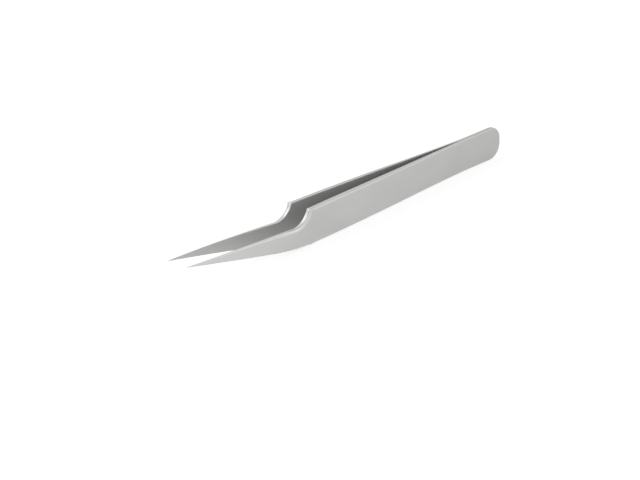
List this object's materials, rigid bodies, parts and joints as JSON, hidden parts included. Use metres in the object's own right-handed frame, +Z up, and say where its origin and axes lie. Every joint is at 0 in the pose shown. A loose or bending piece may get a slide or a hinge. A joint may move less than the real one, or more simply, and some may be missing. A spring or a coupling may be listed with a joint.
{
  "type": "bent precision tweezers",
  "caption": "Slim steel tweezers with bowed arms joined at the heel, a notch behind the nose and fine upturned points.",
  "frame": {"origin": "middle of the length and width, on the surface that the lower edges stand on", "axes": "+X along the tool from the heel to the points, +Y across it to the left arm, +Z up"},
  "size_m": [0.115, 0.0078, 0.0089],
  "materials": {
    "satin_steel": "fine satin stainless steel, brighter on the rounded edges and in the notch"
  },
  "bodies": {
    "root": {"left_arm": "satin_steel", "right_arm": "satin_steel"}
  },
  "joints": []
}
